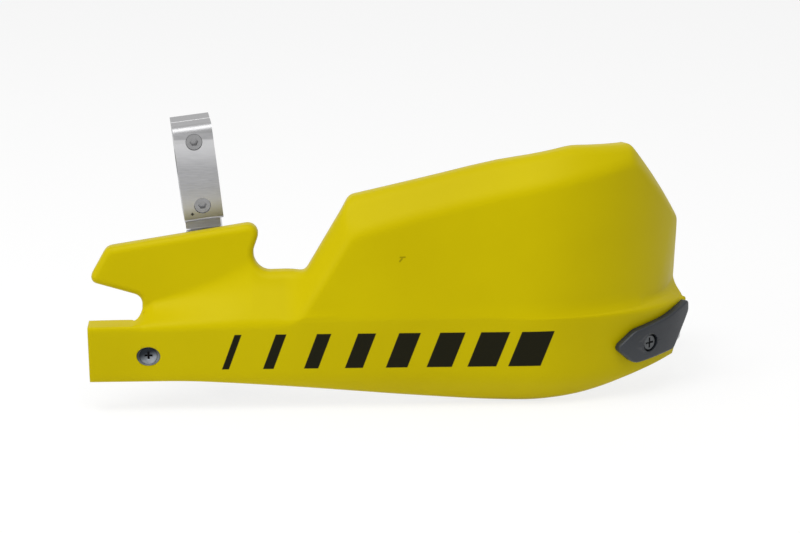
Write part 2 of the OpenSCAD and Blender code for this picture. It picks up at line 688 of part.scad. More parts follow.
module expander_cone() {
    color("#8d9095") at_eye() difference() {
        union() {
            grip_cone(mouth_r, end_bolt_d / 2 + 1, sleeve_end, sleeve_end + mouth_l - 1);
            grip_rod(mouth_r, sleeve_end - cone_l + mouth_l, sleeve_end + eps);
        }
        grip_rod(end_bolt_d / 2 + clear / 4, sleeve_end - cone_l, sleeve_end + mouth_l);
    }
}

// Screws through the plastic
cup_r = guard_head_d / 2 + 0.7;
cup_floor = 1.4;
head_t = 2.2;
small_nut_h = 0.8 * guard_screw_d;
small_nut_w = 1.6 * guard_screw_d;
nut_seat = bar_back + clear;
cross_w = 1.1;
module cross_slots(reach, d0, d1) {
    for (turn = [0, 90]) rotate([0, turn, 0])
        translate([-reach / 2, -d1, -cross_w / 2]) cube([reach, d1 - d0, cross_w]);
}
module pan_head(r, d0, d1) {
    bore(r, d0, between(d0, d1, 0.5));
    cone(r, 0.8 * r, between(d0, d1, 0.5), d1);
}
head_seat = -bar_d + cup_floor;
module guard_screw() {
    color("#7c828c") at_guard_screw() difference() {
        union() {
            pan_head(guard_head_d / 2, head_seat, head_seat + head_t);
            bore(guard_screw_d / 2, -nut_seat - small_nut_h - 1.5, head_seat + eps);
        }
        cross_slots(0.52 * guard_head_d, head_seat + 0.3 * head_t, head_seat + head_t + 1);
    }
}
module guard_screw_washer() {
    color("#3a3d42") at_guard_screw() difference() {
        bore(cup_r, -bar_d, -face_back - clear);
        bore(guard_head_d / 2 + clear, head_seat, 1);
        bore(guard_screw_d / 2 + clear, -bar_d - 1, 1);
    }
}
module guard_screw_nut() {
    color("#8d9095") at_guard_screw() difference() {
        six_sided(small_nut_w, -nut_seat - small_nut_h, -nut_seat);
        bore(guard_screw_d / 2 + clear / 4, -nut_seat - small_nut_h - 1, -nut_seat + 1);
    }
}

// Skid plate over the outer end of the band
skid_screw_z = -bar_drop - 1.6;
skid_back = 0.3;
skid_out = -face_back + skid_t;
skid_seat = skid_out - 3.4;
function at_skid(u, h) = [run - skid_l + u * skid_l, band_bottom + h * band_h];
skid_l = 60;
skid_corners = [
    [at_skid(0, 0.45), 3], [at_skid(0.2, 0.72), 9], [at_skid(0.6, 0.83), 40],
    [at_skid(0.905, 1), 2], [at_skid(0.94, 0.81), 4], [at_skid(0.745, 0.17), 4],
    [at_skid(0.5, 0.14), 30], [at_skid(0.22, 0.11), 9]
];
skid_step = 6;
skid_outline = closed_outline([for (c = skid_corners) rounded(c[0], c[1])]);
skid_line = [
    for (k = [0:len(skid_outline) - 1])
        let (
            a = skid_outline[k],
            b = skid_outline[(k + 1) % len(skid_outline)],
            pieces = ceil(norm(b - a) / skid_step)
        )
        for (j = [0:pieces - 1]) between(a, b, j / pieces)
];
skid_centre = at_skid(0.53, 0.45);
function skid_ring(scale, d) = [
    for (p = skid_line)
        let (q = between(skid_centre, p, scale)) spot([q[0], q[1], face_d(q[0], q[1]) + d])
];
skid_rings = [
    for (scale = [0.25, 0.5, 0.75, 1]) skid_ring(scale, skid_back),
    skid_ring(1, skid_t - 1.8), skid_ring(0.965, skid_t - 0.6),
    for (scale = [0.9, 0.6, 0.3]) skid_ring(scale, skid_t)
];
module skid_plate() {
    n = len(skid_line);
    points = concat(
        [for (ring = skid_rings) each ring],
        [for (d = [skid_back, skid_t]) spot([
            skid_centre[0], skid_centre[1], face_d(skid_centre[0], skid_centre[1]) + d
        ])]
    );
    last = len(skid_rings) * n;
    faces = concat(
        [
            for (r = [0:len(skid_rings) - 2]) for (k = [0:n - 1])
                each quad(r * n + k, r * n + (k + 1) % n, (r + 1) * n + (k + 1) % n, (r + 1) * n + k)
        ],
        [for (k = [0:n - 1]) [last, (k + 1) % n, k]],
        [for (k = [0:n - 1]) [last + 1, last - n + k, last - n + (k + 1) % n]]
    );
    color("#44484e") difference() {
        polyhedron(points, faces);
        at_skid_screw() {
            bore(skid_head_d / 2 + clear, skid_seat, skid_out + 2);
            bore(guard_screw_d / 2 + clear, -wall, skid_out);
        }
    }
}
module skid_screw() {
    color("#55595f") at_skid_screw() difference() {
        union() {
            pan_head(skid_head_d / 2, skid_seat, skid_seat + head_t);
            bore(guard_screw_d / 2, -nut_seat - small_nut_h - 1.5, skid_seat + eps);
        }
        cross_slots(0.6 * skid_head_d, skid_seat + 0.3 * head_t, skid_seat + head_t + 1);
    }
}
module skid_screw_nut() {
    color("#8d9095") at_skid_screw() difference() {
        six_sided(small_nut_w, -nut_seat - small_nut_h, -nut_seat);
        bore(guard_screw_d / 2 + clear / 4, -nut_seat - small_nut_h - 1, -nut_seat + 1);
    }
}

guard_shell();
skid_plate();
backbone();
clamp_cap();
clamp_bracket();
clamp_screw_upper();
clamp_screw_lower();
mount_bolt();
mount_spacer();
mount_washer();
mount_nut();
bar_end_bolt();
bar_end_washer();
bar_end_spacer();
expander_sleeve();
expander_cone();
guard_screw();
guard_screw_washer();
guard_screw_nut();
skid_screw();
skid_screw_nut();
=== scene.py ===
import math
import bpy
import numpy as np
from mathutils import Matrix, Vector


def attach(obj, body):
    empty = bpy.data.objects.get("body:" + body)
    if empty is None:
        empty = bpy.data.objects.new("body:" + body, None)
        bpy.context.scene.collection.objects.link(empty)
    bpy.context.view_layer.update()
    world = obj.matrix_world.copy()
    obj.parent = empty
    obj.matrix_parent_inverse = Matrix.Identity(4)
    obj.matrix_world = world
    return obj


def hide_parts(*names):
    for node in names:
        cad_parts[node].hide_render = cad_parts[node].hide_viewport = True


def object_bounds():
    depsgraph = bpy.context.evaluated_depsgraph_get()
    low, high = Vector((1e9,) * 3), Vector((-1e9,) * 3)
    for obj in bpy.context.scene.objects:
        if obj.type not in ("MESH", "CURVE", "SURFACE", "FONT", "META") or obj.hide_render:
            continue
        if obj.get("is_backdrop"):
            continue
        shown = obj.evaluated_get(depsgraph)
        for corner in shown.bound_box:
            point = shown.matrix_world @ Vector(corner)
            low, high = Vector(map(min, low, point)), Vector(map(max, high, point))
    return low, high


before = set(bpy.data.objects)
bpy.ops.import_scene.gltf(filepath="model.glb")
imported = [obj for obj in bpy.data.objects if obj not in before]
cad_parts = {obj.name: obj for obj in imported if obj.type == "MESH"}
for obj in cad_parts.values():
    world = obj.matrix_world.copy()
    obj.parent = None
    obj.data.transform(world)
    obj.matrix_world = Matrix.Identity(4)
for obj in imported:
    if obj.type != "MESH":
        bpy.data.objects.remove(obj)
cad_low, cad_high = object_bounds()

# SHELL
# The yellow shell is one moulding in tough plastic, coloured right through: a band along the
# backbone, a wing and a tall shield that stand back from it, and a rim that is rolled back
# along the free edge. Its form is worked out in millimetres, as its drawing gives it.
MM = 0.001
BAND_START, FRONT, STRAIGHT, BEND_R, BEND_TURN = -56.8, 54.0, 233.0, 110.0, 57.0
RUN = STRAIGHT + BEND_R * math.radians(BEND_TURN)
CREASE_TOP, BAND_H, BELLY = -74.1, 31.8, 16.0
BAND_BOTTOM = CREASE_TOP - BAND_H
TUCK, UNDER_SLOPE, LIP_D, RAKE, RAKE_RUN = 0.1, 0.6, 6.0, 9.0, 60.0
WING_H, WING_BACK, WING_LEAN, NOTCH, WING_END, GAP_H = 50.0, 16.0, 0.11, 28.0, 93.0, 23.5
FLANGE_D, FLANGE_RISE = 10.5, 0.9
SHIELD, SHIELD_H, SHIELD_OVER = 111.3, 88.0, 11.0
WALL, EDGE_R, RIM_R, RIM_D = 2.6, 3.6, 3.5, 7.0


def eased(x, pairs, spread=0.012):
    """A table of [place, value] read with its corners rounded over the spread."""
    px, py = zip(*pairs)
    return sum(np.interp(x + spread * k / 4, px, py) for k in range(-4, 5)) / 9


def heading(s):
    """How far the band has turned at run s: straight first, then bent round the grip's end."""
    return np.maximum(0, s - STRAIGHT) / BEND_R


def on_path(s, z, d):
    """Point at run s along the band, height z, standing d out from the crease line."""
    a = heading(s)
    x = BAND_START + np.minimum(s, STRAIGHT) + BEND_R * np.sin(a) + d * np.sin(a)
    y = -FRONT + BEND_R * (1 - np.cos(a)) - d * np.cos(a)
    return np.stack([x, y, z + 0 * x], -1)


def crease_z(s):
    """Height of the crease along the top of the band, which bows up a little."""
    bow = [[0, 0], [0.3, 1.5], [0.6, 2.5], [0.8, 1.7], [1, -1.3]]
    return CREASE_TOP + eased(s / RUN, bow, 0.05)


def under_z(s):
    """Height at which the band's flat face turns under into the belly."""
    return BAND_BOTTOM + 2.8 - eased(s / RUN, [
        [0, 0], [0.18, 0.1], [0.33, 1], [0.6, 2.9], [0.7, 3.5], [0.81, 4.6],
        [0.9, 4.6], [0.95, 3.5], [1, 1.8]], 0.03)


def bottom_z(s):
    """Height of the belly's lower edge."""
    return BAND_BOTTOM - BELLY * eased(s / RUN, [
        [0, 0], [0.15, -0.01], [0.22, 0.1], [0.33, 0.32], [0.49, 0.68], [0.61, 0.91],
        [0.69, 0.97], [0.77, 0.83], [0.83, 0.57], [0.88, 0.33], [0.94, 0.11], [1, 0.01]], 0.03)


def face_d(s, z):
    return -TUCK * (crease_z(s) - z)


def under_d(s, z):
    return face_d(s, under_z(s)) - UNDER_SLOPE * (under_z(s) - z)


def soft_max(a, b, r):
    """The greater of two, with the edge where they meet rounded over r."""
    return np.maximum(a, b) + np.maximum(0, 1 - np.abs(a - b) / r) ** 2 * r / 4


def soft_min(a, b, r):
    return -soft_max(-a, -b, r)


def ramp_angle(s):
    steep = math.degrees(math.atan(FLANGE_D / FLANGE_RISE))
    return np.radians(eased(s, [
        [NOTCH - 5, steep], [NOTCH + 6, 66], [WING_END - 6, 37.5],
        [SHIELD + 20, 37.5], [SHIELD + 70, 62]], 0.01))


def ramp_d(s, z):
    """How far the slope behind the crease stands back."""
    return -np.tan(ramp_angle(s)) * np.maximum(z - crease_z(s), -0.5)


WING_FOOT = CREASE_TOP + 6


def wing_d(s, z):
    """How far the wing's face stands back, with a slight lean."""
    return -WING_BACK - WING_LEAN * (z - WING_FOOT) - 0.6 * np.maximum(0, s - WING_END - 17)


def wing_foot(s):
    """Where the slope behind the crease runs into the wing's face."""
    c = crease_z(s)
    return [s, c + (WING_BACK + WING_LEAN * (c - WING_FOOT)) / (np.tan(ramp_angle(s)) - WING_LEAN)]


def on_shield(u, v):
    """A point of the shield, as shares of its length and of its height."""
    s = SHIELD + u * (RUN - SHIELD)
    return np.array([s, crease_z(s) + v * SHIELD_H])


FACE_FOOT, FACE_TOP, TOP_CORNER = on_shield(0, 0.01), on_shield(0.122, 0.52), on_shield(0.83, 0.915)
OUTER_CORNER = np.array([RUN + SHIELD_OVER - 4.5, crease_z(RUN) + 0.49 * SHIELD_H])
OUTER_FOOT = np.array([RUN - 16, crease_z(RUN) + 0.06 * SHIELD_H])
CREASE_BOW = 4.6


def top_crease_z(s):
    """Height of the bowed crease between the shield's face and its upper facet."""
    t = np.clip((s - FACE_TOP[0]) / (TOP_CORNER[0] - FACE_TOP[0]), 0, 1)
    return FACE_TOP[1] + (TOP_CORNER[1] - FACE_TOP[1]) * t + 4 * CREASE_BOW * t * (1 - t)


def beyond(s, z, a, b):
    """How far a point lies to the left of the line from a to b."""
    return ((z - a[1]) * (b[0] - a[0]) - (s - a[0]) * (b[1] - a[1])) / np.hypot(*(b - a))


def ledge(s):
    """Depth of the ledge between the band and the shield, which grows outboard."""
    return 7.5 * eased(s / RUN, [[0.56, 0], [0.74, 0.18], [0.88, 0.55], [1, 1]], 0.03)


def shield_d(s, z):
    """How far the shield stands back: a face, and facets that fall away from its creases."""
    lean = 0.12 * eased(s / RUN, [[0.68, 1], [1, 0.45]], 0.03)
    main = -ledge(s) - lean * (z - crease_z(s))
    left_and_top = soft_min(
        soft_min(0 * s, -beyond(s, z, FACE_FOOT, FACE_TOP), 3), -0.8 * (z - top_crease_z(s)), 3)
    outer = soft_min(-0.68 * beyond(s, z, TOP_CORNER, OUTER_CORNER),
                     -0.2 * beyond(s, z, OUTER_CORNER, OUTER_FOOT), 1)
    return main + soft_min(left_and_top, outer, 2)


def depth(s, z):
    """How far the shell above the crease stands back: the foremost of its three forms."""
    s, z = np.asarray(s, float), np.asarray(z, float)
    return np.minimum(0, soft_max(soft_max(ramp_d(s, z), wing_d(s, z), 6), shield_d(s, z), 5))


def over(s, h):
    """A point at height h over the crease."""
    return np.array([s, crease_z(s) + h])


def rounded_line(corners, step=5.0):
    """A line through [s, z, radius] corners with each rounded; also the length at each corner."""
    points, marks = [np.array(corners[0][:2], float)], [0]
    for before, this, after in zip(corners, corners[1:], corners[2:]):
        p = np.array(this[:2], float)
        u, v = np.array(before[:2]) - p, np.array(after[:2]) - p
        u, v = u / np.hypot(*u), v / np.hypot(*v)
        half = math.acos(float(np.clip(u @ v, -1, 1))) / 2
        middle = p + (u + v) / np.hypot(*(u + v)) * this[2] / math.sin(half)
        a, b = (math.atan2(*(p + w * this[2] / math.tan(half) - middle)[::-1]) for w in (u, v))
        turn = (b - a + math.pi) % (2 * math.pi) - math.pi
        n = 2 * max(1, math.ceil(abs(math.degrees(turn)) / step / 2))
        marks.append(len(points) + n // 2)
        angles = [a + turn * k / n for k in range(n + 1)]
        points += [middle + this[2] * np.array([math.cos(t), math.sin(t)]) for t in angles]
    marks.append(len(points))
    points.append(np.array(corners[-1][:2], float))
    points = np.array(points)
    lengths = np.concatenate([[0], np.cumsum(np.hypot(*np.diff(points, axis=0).T))])
    return points, lengths, lengths[marks]


edge_points, edge_lengths, corner_lengths = rounded_line([
    [*over(0, FLANGE_RISE), 0], [*over(NOTCH, FLANGE_RISE), 5], [*over(NOTCH, 0.23 * WING_H), 5.5],
    [*over(-0.8, 0.404 * WING_H), 3.6], [*over(NOTCH - 18.6, 0.76 * WING_H), 6],
    [*over(WING_END, WING_H), 5.5], [*over(WING_END - 5.4, 0.7 * WING_H), 9],
    [*over(WING_END - 5.4, GAP_H), 9], [*over(SHIELD + 3.6, GAP_H + 0.3), 5],
    [*on_shield(0.118, 0.713), 7], [*on_shield(0.46, 0.92), 300], [*on_shield(0.67, 1.002), 60],
    [*on_shield(0.856, 1.006), 7], [RUN + SHIELD_OVER + 1, crease_z(RUN) + 0.53 * SHIELD_H, 6],
    [RUN + SHIELD_OVER + 1, crease_z(RUN) + 0.08 * SHIELD_H, 5], [*over(RUN, 1.6), 0]])


def edge_at(length):
    return np.stack([np.interp(length, edge_lengths, edge_points[:, k]) for k in (0, 1)], -1)


def edge_inward(length):
    """The direction square to the free edge, into the shell."""
    t = edge_at(length + 1) - edge_at(length - 1)
    t = t / np.hypot(t[..., 0], t[..., 1])[..., None]
    return np.stack([t[..., 1], -t[..., 0]], -1)


def shield_foot(s):
    return over(s, max(1.2, float(ledge(s)) / 1.9))


def crease_station(t, corner):
    s = FACE_TOP[0] + (TOP_CORNER[0] - FACE_TOP[0]) * t
    return [s, shield_foot(s), np.array([s, top_crease_z(s)]), corner, 1]


# Stations: place on the crease, foot of the face, ridge, corner on the free edge, share of the rim
stations = [
    [0, over(0, 0.3 * FLANGE_RISE), over(0, 0.6 * FLANGE_RISE), 0, 0.03],
    [NOTCH - 5, over(NOTCH - 5, 0.3 * FLANGE_RISE), over(NOTCH - 5, 0.6 * FLANGE_RISE), 0.856,
     0.03],
    [NOTCH - 1.1, over(NOTCH - 0.7, 1.1), over(NOTCH - 1, 1.5), 1, 0.1],
    [NOTCH + 3.5, wing_foot(NOTCH + 3.5), over(NOTCH + 2.8, 0.125 * WING_H), 1.5, 0.6],
    [NOTCH + 9, wing_foot(NOTCH + 9), over(NOTCH + 4, 0.31 * WING_H), 2, 1],
    [NOTCH + 13, wing_foot(NOTCH + 13), over(NOTCH + 3, 0.425 * WING_H), 3, 1],
    [NOTCH + 23, wing_foot(NOTCH + 23), over(NOTCH + 12, 0.62 * WING_H), 4, 1],
    [WING_END - 10, wing_foot(WING_END - 11), over(WING_END - 13, 0.8 * WING_H), 5, 1],
    [WING_END - 6, over(WING_END - 9, 0.9 * GAP_H), over(WING_END - 10.5, 0.62 * WING_H), 6, 1],
    [WING_END - 3, over(WING_END - 5.5, 0.5 * GAP_H), over(WING_END - 7.5, 0.88 * GAP_H), 7, 1],
    [SHIELD, shield_foot(SHIELD + 0.5), over(SHIELD + 0.8, 5), 8, 1],
    [FACE_TOP[0], shield_foot(FACE_TOP[0]), FACE_TOP, 9, 1],
    crease_station(0.2, 9.4), crease_station(0.4, 9.85), crease_station(0.6, 10.4),
    crease_station(0.8, 11),
    [TOP_CORNER[0], shield_foot(TOP_CORNER[0]), TOP_CORNER, 12, 1],
    [RUN - 38, shield_foot(RUN - 38), OUTER_CORNER, 13, 1],
    [RUN - 24, shield_foot(RUN - 23), OUTER_FOOT, 13.5, 1],
    [RUN - 7, shield_foot(RUN - 7), over(RUN - 2, 7), 14, 0.5],
    [RUN, over(RUN - 1.2, 1), over(RUN - 0.7, 1.35), 15, 0.03]]
rows_at = np.array([
    [s, *foot, *ridge, np.interp(corner, range(len(corner_lengths)), corner_lengths), share]
    for s, foot, ridge, corner, share in stations], float)
COLUMN_STEP = 1.3
columns = []
for a, b in zip(rows_at, rows_at[1:]):
    ends = [np.concatenate([r[:5], edge_at(r[5])]) for r in (a, b)]
    n = max(2, math.ceil(np.abs(ends[1] - ends[0]).max() / COLUMN_STEP))
    columns += [a + (b - a) * k / n for k in range(n)]
columns = np.array(columns + [rows_at[-1]])


def toward(a, b, step):
    """Steps from a toward b, but never past 0.42 of the way."""
    v = b - a
    length = np.linalg.norm(v, axis=-1, keepdims=True)
    return a + v / length * np.minimum(step, 0.42 * length)


def bent(a, corner, b, n):
    """Points round a corner, from a to b."""
    return [a * (1 - t) ** 2 + 2 * corner * t * (1 - t) + b * t * t for t in np.linspace(0, 1, n)]


def at_depth(p):
    return np.concatenate([p, depth(p[:, 0], p[:, 1])[:, None]], 1)


s, length, share = columns[:, 0], columns[:, 5], columns[:, 6]
foot, ridge = columns[:, 1:3], columns[:, 3:5]
crease = np.stack([s, crease_z(s), 0 * s], 1)
low = s - RAKE * np.maximum(0, 1 - (RUN - s) / RAKE_RUN)
under = np.stack([low, under_z(s), face_d(s, under_z(s))], 1)
bottom = np.stack([low, bottom_z(s), under_d(s, bottom_z(s))], 1)
lip = bottom - np.array([0, 0, LIP_D])
roll = (RIM_R * share)[:, None]
edge, inward = edge_at(length), edge_inward(length)
foot_3d = at_depth(foot)
above = toward(crease, foot_3d, EDGE_R)
rows = [lip, lip * 0.5 + toward(bottom, lip, EDGE_R) * 0.5]
rows += bent(toward(bottom, lip, EDGE_R), bottom, toward(bottom, under, EDGE_R), 6)
rows += bent(toward(under, bottom, 5), under, toward(under, crease, 5), 6)
rows += [under + (crease - under) * t for t in np.linspace(0.25, 0.8, 8)]
rows += bent(toward(crease, under, EDGE_R), crease, above, 8)
# Under the wing these rows follow the surface, and under the shield they run straight
straight = np.interp(s, [SHIELD - 12, SHIELD + 12], [0, 1])[:, None]
rows += [at_depth(above[:, :2] + (foot - above[:, :2]) * t) * (1 - straight)
         + (above + (foot_3d - above) * t) * straight for t in (0.2, 0.4, 0.6, 0.8, 1)]
rows += [at_depth(foot + (ridge - foot) * t)
         for t in np.sin(np.linspace(0, 1, 27)[1:] * math.pi / 2)]
inset = edge + inward * roll
rows += [at_depth(ridge + (inset - ridge) * t)
         for t in 1 - np.cos(np.linspace(0, 1, 15)[1:] * math.pi / 2)]
last_face_row = len(rows) - 1
for angle in np.linspace(0, math.pi / 2, 8)[1:]:
    p = edge + inward * roll * (1 - math.sin(angle))
    rows.append(at_depth(p) - np.array([0, 0, 1]) * roll * (1 - math.cos(angle)))
back = rows[-1]
for t in (0.35, 0.7, 1):
    rows.append(back - np.array([0, 0, 1]) * (((RIM_D - RIM_R) * share + 0.4) * t)[:, None])
outer = np.stack([on_path(r[:, 0], r[:, 1], r[:, 2]) for r in rows], 1)


def grid_normals(grid):
    along, across = np.gradient(grid, axis=0), np.gradient(grid, axis=1)
    n = np.cross(along, across)
    n /= np.linalg.norm(n, axis=-1, keepdims=True)
    return n


# The rim's inner wall leans over to the face's where the rim fades out
normals = grid_normals(outer)
cols, n_rows = outer.shape[:2]
for j in range(last_face_row + 1, n_rows):
    n = normals[:, last_face_row] * (1 - share)[:, None] + normals[:, j] * share[:, None]
    normals[:, j] = n / np.linalg.norm(n, axis=-1, keepdims=True)
# Behind the crease, where the rows lie close together, the inner wall takes an even turn
steps = np.linalg.norm(np.diff(outer, axis=1), axis=-1)
place = np.concatenate([np.zeros((cols, 1)), np.cumsum(steps, axis=1)], 1)
room = np.gradient(place, axis=1)
even = np.zeros_like(normals)
for j in range(n_rows):
    weight = np.exp(-((place - place[:, j:j + 1]) / 2.6) ** 2) * room
    even[:, j] = (weight[..., None] * normals).sum(1)
even /= np.linalg.norm(even, axis=-1, keepdims=True)
near_crease = np.interp(np.arange(n_rows), [16, 22, 36, 44], [0, 1, 1, 0])[None, :, None]
normals = normals * (1 - near_crease) + even * near_crease
normals /= np.linalg.norm(normals, axis=-1, keepdims=True)
# Where the notch ends in a small round the wall is thinned behind, so that it doesn't fold
round_off = np.exp(-((s - NOTCH - 1.5) / 3.5) ** 2)[:, None] * (np.arange(n_rows) > len(rows) - 60)
inner = outer - WALL * (1 - 0.88 * round_off)[..., None] * normals
number = np.arange(cols * n_rows).reshape(cols, n_rows)
front = np.stack([number[:-1, :-1], number[:-1, 1:], number[1:, 1:], number[1:, :-1]], -1)
front = front.reshape(-1, 4)
rear = front[:, ::-1] + cols * n_rows
far = cols * n_rows


def strip(line, flip):
    """The wall between the outer and the inner skin along a line of points."""
    a, b = line[:-1], line[1:]
    quads = np.stack([a, b, b + far, a + far], -1)
    return quads[:, ::-1] if flip else quads


faces = np.concatenate([front, rear, strip(number[:, 0], False), strip(number[:, -1], True),
                        strip(number[0], True), strip(number[-1], False)])
points = np.concatenate([outer.reshape(-1, 3), inner.reshape(-1, 3)]) * MM


def mesh_piece(name, verts, polys, smooth=True):
    mesh = bpy.data.meshes.new(name)
    mesh.from_pydata([tuple(v) for v in verts], [], [tuple(int(i) for i in p) for p in polys])
    mesh.update()
    mesh.polygons.foreach_set("use_smooth", [smooth] * len(mesh.polygons))
    piece = bpy.data.objects.new(name, mesh)
    bpy.context.scene.collection.objects.link(piece)
    return piece


shell = mesh_piece("yellow_shell", points, faces)


def cut_out(piece, ring, middle, direction, length):
    """Cuts a hole of the ring's shape through a piece, to the length either way."""
    turned = Vector((0, 0, 1)).rotation_difference(Vector(direction))
    n = len(ring)
    verts = [turned @ Vector((x, y, z)) + Vector(middle)
             for z in (-length, length) for x, y in ring]
    polys = [[k, (k + 1) % n, n + (k + 1) % n, n + k] for k in range(n)]
    polys += [list(range(n - 1, -1, -1)), list(range(n, 2 * n))]
    tool = mesh_piece("cutter", verts, polys, False)
    cut = piece.modifiers.new("cutter", "BOOLEAN")
    cut.object, cut.operation, cut.solver = tool, "DIFFERENCE", "EXACT"
    graph = bpy.context.evaluated_depsgraph_get()
    mesh = bpy.data.meshes.new_from_object(piece.evaluated_get(graph))
    piece.modifiers.clear()
    piece.data = mesh
    bpy.data.objects.remove(tool)


def oval(half_width, half_height=None, n=64):
    """The ring of a round or oval hole."""
    half_height = half_height or half_width
    turns = [2 * math.pi * k / n for k in range(n)]
    return [(half_width * MM * math.cos(a), half_height * MM * math.sin(a)) for a in turns]


def outwards(run):
    """The direction square to the band's face."""
    a = float(heading(run))
    return np.array([math.sin(a), -math.cos(a), 0])


# Places of the two screws: run along the band, and drop below the handlebar
GUARD_SCREW, SKID_SCREW, BAR_DROP, SKID_DROP = 31.6, RUN - 37, 90.4, 92.0
DISH, DISH_H, SCREW_HOLE, DRILL = 6.3, 5.3, 2.9, 12 * MM
for ring, run, drop in ((oval(DISH, DISH_H), GUARD_SCREW, BAR_DROP),
                        (oval(SCREW_HOLE), SKID_SCREW, SKID_DROP)):
    cut_out(shell, ring, on_path(run, -drop, 0) * MM, outwards(run), DRILL)
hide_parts("guard_shell")
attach(shell, "root")


class Finish:
    """A procedural material, built up from its shader's sockets."""

    def __init__(self, name, metal=0.0):
        self.material = bpy.data.materials.new(name)
        self.material.use_nodes = True
        self.tree = self.material.node_tree
        self.shader = self.tree.nodes["Principled BSDF"]
        self.shader.inputs["Metallic"].default_value = metal
        self.place = self.tree.nodes.new("ShaderNodeTexCoord").outputs["Object"]

    def link(self, value, socket):
        if hasattr(value, "is_linked"):
            self.tree.links.new(value, socket)
        else:
            socket.default_value = value

    def maths(self, kind, a, b=0.0, c=0.0):
        node = self.tree.nodes.new("ShaderNodeMath")
        node.operation = kind
        for value, socket in zip((a, b, c), node.inputs):
            self.link(value, socket)
        return node.outputs[0]

    def between(self, value, low, high):
        """0 below low, 1 above high, smooth between."""
        node = self.tree.nodes.new("ShaderNodeMapRange")
        node.interpolation_type = "SMOOTHSTEP"
        for k, v in enumerate((value, low, high, 0.0, 1.0)):
            self.link(v, node.inputs[k])
        return node.outputs[0]

    def noise(self, scale, detail=2.0, stretch=(1, 1, 1), turn=(0, 0, 0)):
        mapping = self.tree.nodes.new("ShaderNodeMapping")
        self.tree.links.new(self.place, mapping.inputs["Vector"])
        mapping.inputs["Rotation"].default_value = turn
        mapping.inputs["Scale"].default_value = stretch
        node = self.tree.nodes.new("ShaderNodeTexNoise")
        self.tree.links.new(mapping.outputs[0], node.inputs["Vector"])
        node.inputs["Scale"].default_value = scale
        node.inputs["Detail"].default_value = detail
        return node.outputs["Fac"]

    def mix(self, share, a, b):
        node = self.tree.nodes.new("ShaderNodeMix")
        node.data_type = "RGBA"
        self.link(share, node.inputs["Factor"])
        for value, socket in ((a, node.inputs["A"]), (b, node.inputs["B"])):
            self.link(value if hasattr(value, "is_linked") else (*value, 1), socket)
        return node.outputs["Result"]

    def bump(self, height, distance, strength=1.0):
        node = self.tree.nodes.new("ShaderNodeBump")
        self.link(height, node.inputs["Height"])
        node.inputs["Distance"].default_value = distance
        node.inputs["Strength"].default_value = strength
        self.tree.links.new(node.outputs[0], self.shader.inputs["Normal"])

    def axes(self, source=None):
        node = self.tree.nodes.new("ShaderNodeSeparateXYZ")
        self.tree.links.new(source or self.place, node.inputs[0])
        return node.outputs

    def set(self, socket, value):
        self.link(value, self.shader.inputs[socket])


YELLOW, YELLOW_DEEP, PRINT = (0.585, 0.480, 0.000), (0.545, 0.440, 0.000), (0.006, 0.006, 0.005)
NICKED = (0.16, 0.12, 0.0)
moulded = Finish("moulded_yellow")
moulded.set("Specular IOR Level", 0.13)
moulded.set("Specular Tint", (1.0, 0.92, 0.35, 1))
x, y, z = moulded.axes()
cloud = moulded.noise(11, 3)
grain = moulded.noise(1900, 2)
peel = moulded.noise(260, 2)

# Bars that lean with the band and grow wider outboard, printed in black on its front face
BAR_PITCH, BAR_LEAN = 0.0228, 0.36
BARS_FROM, BARS_TO, BARS_LOW, BARS_HIGH = 0.004, 0.1865, -0.0985, -0.0785
INK_OVER, INK_IN = 0.0002, 0.0003
raised = moulded.maths("ADD", z, -BARS_LOW)
along = moulded.maths("SUBTRACT", moulded.maths("MULTIPLY_ADD", raised, -BAR_LEAN, x), BARS_FROM)
turns = moulded.maths("DIVIDE", along, BAR_PITCH)
off_centre = moulded.maths("SUBTRACT", moulded.maths("FRACT", turns), 0.5)
off_centre = moulded.maths("ABSOLUTE", off_centre)
half = moulded.maths("MULTIPLY_ADD", moulded.maths("FLOOR", turns), 0.043, 0.085)
inside = moulded.between(moulded.maths("SUBTRACT", half, off_centre), -0.008, 0.014)
bars_length = BARS_TO - BARS_FROM
for value, low, high in (
        (z, BARS_LOW - INK_OVER, BARS_LOW + INK_IN),
        (moulded.maths("MULTIPLY", z, -1), -BARS_HIGH - INK_OVER, -BARS_HIGH + INK_IN),
        (along, -INK_OVER, 0.0001),
        (moulded.maths("MULTIPLY", along, -1), -bars_length, -bars_length + INK_IN)):
    inside = moulded.maths("MULTIPLY", inside, moulded.between(value, low, high))
facing = moulded.axes(moulded.tree.nodes.new("ShaderNodeNewGeometry").outputs["Normal"])[1]
in_front = moulded.between(moulded.maths("MULTIPLY", facing, -1), 0.5, 0.6)
printed = moulded.maths("MULTIPLY", inside, in_front)


def scratch(ax, az, bx, bz, width):
    """Mask of a straight scratch on the shield, from (ax, az) to (bx, bz)."""
    length = math.hypot(bx - ax, bz - az)
    ux, uz = (bx - ax) / length, (bz - az) / length
    dx, dz = moulded.maths("SUBTRACT", x, ax), moulded.maths("SUBTRACT", z, az)
    run = moulded.maths("ADD", moulded.maths("MULTIPLY", dx, ux), moulded.maths("MULTIPLY", dz, uz))
    off_x, off_z = moulded.maths("MULTIPLY", dx, uz), moulded.maths("MULTIPLY", dz, ux)
    side = moulded.maths("ABSOLUTE", moulded.maths("SUBTRACT", off_x, off_z))
    over_end = moulded.maths("ABSOLUTE", moulded.maths("SUBTRACT", run, length / 2))
    return moulded.maths("MULTIPLY", moulded.between(side, width, width * 0.3),
                         moulded.between(over_end, length / 2, length / 2 - width))


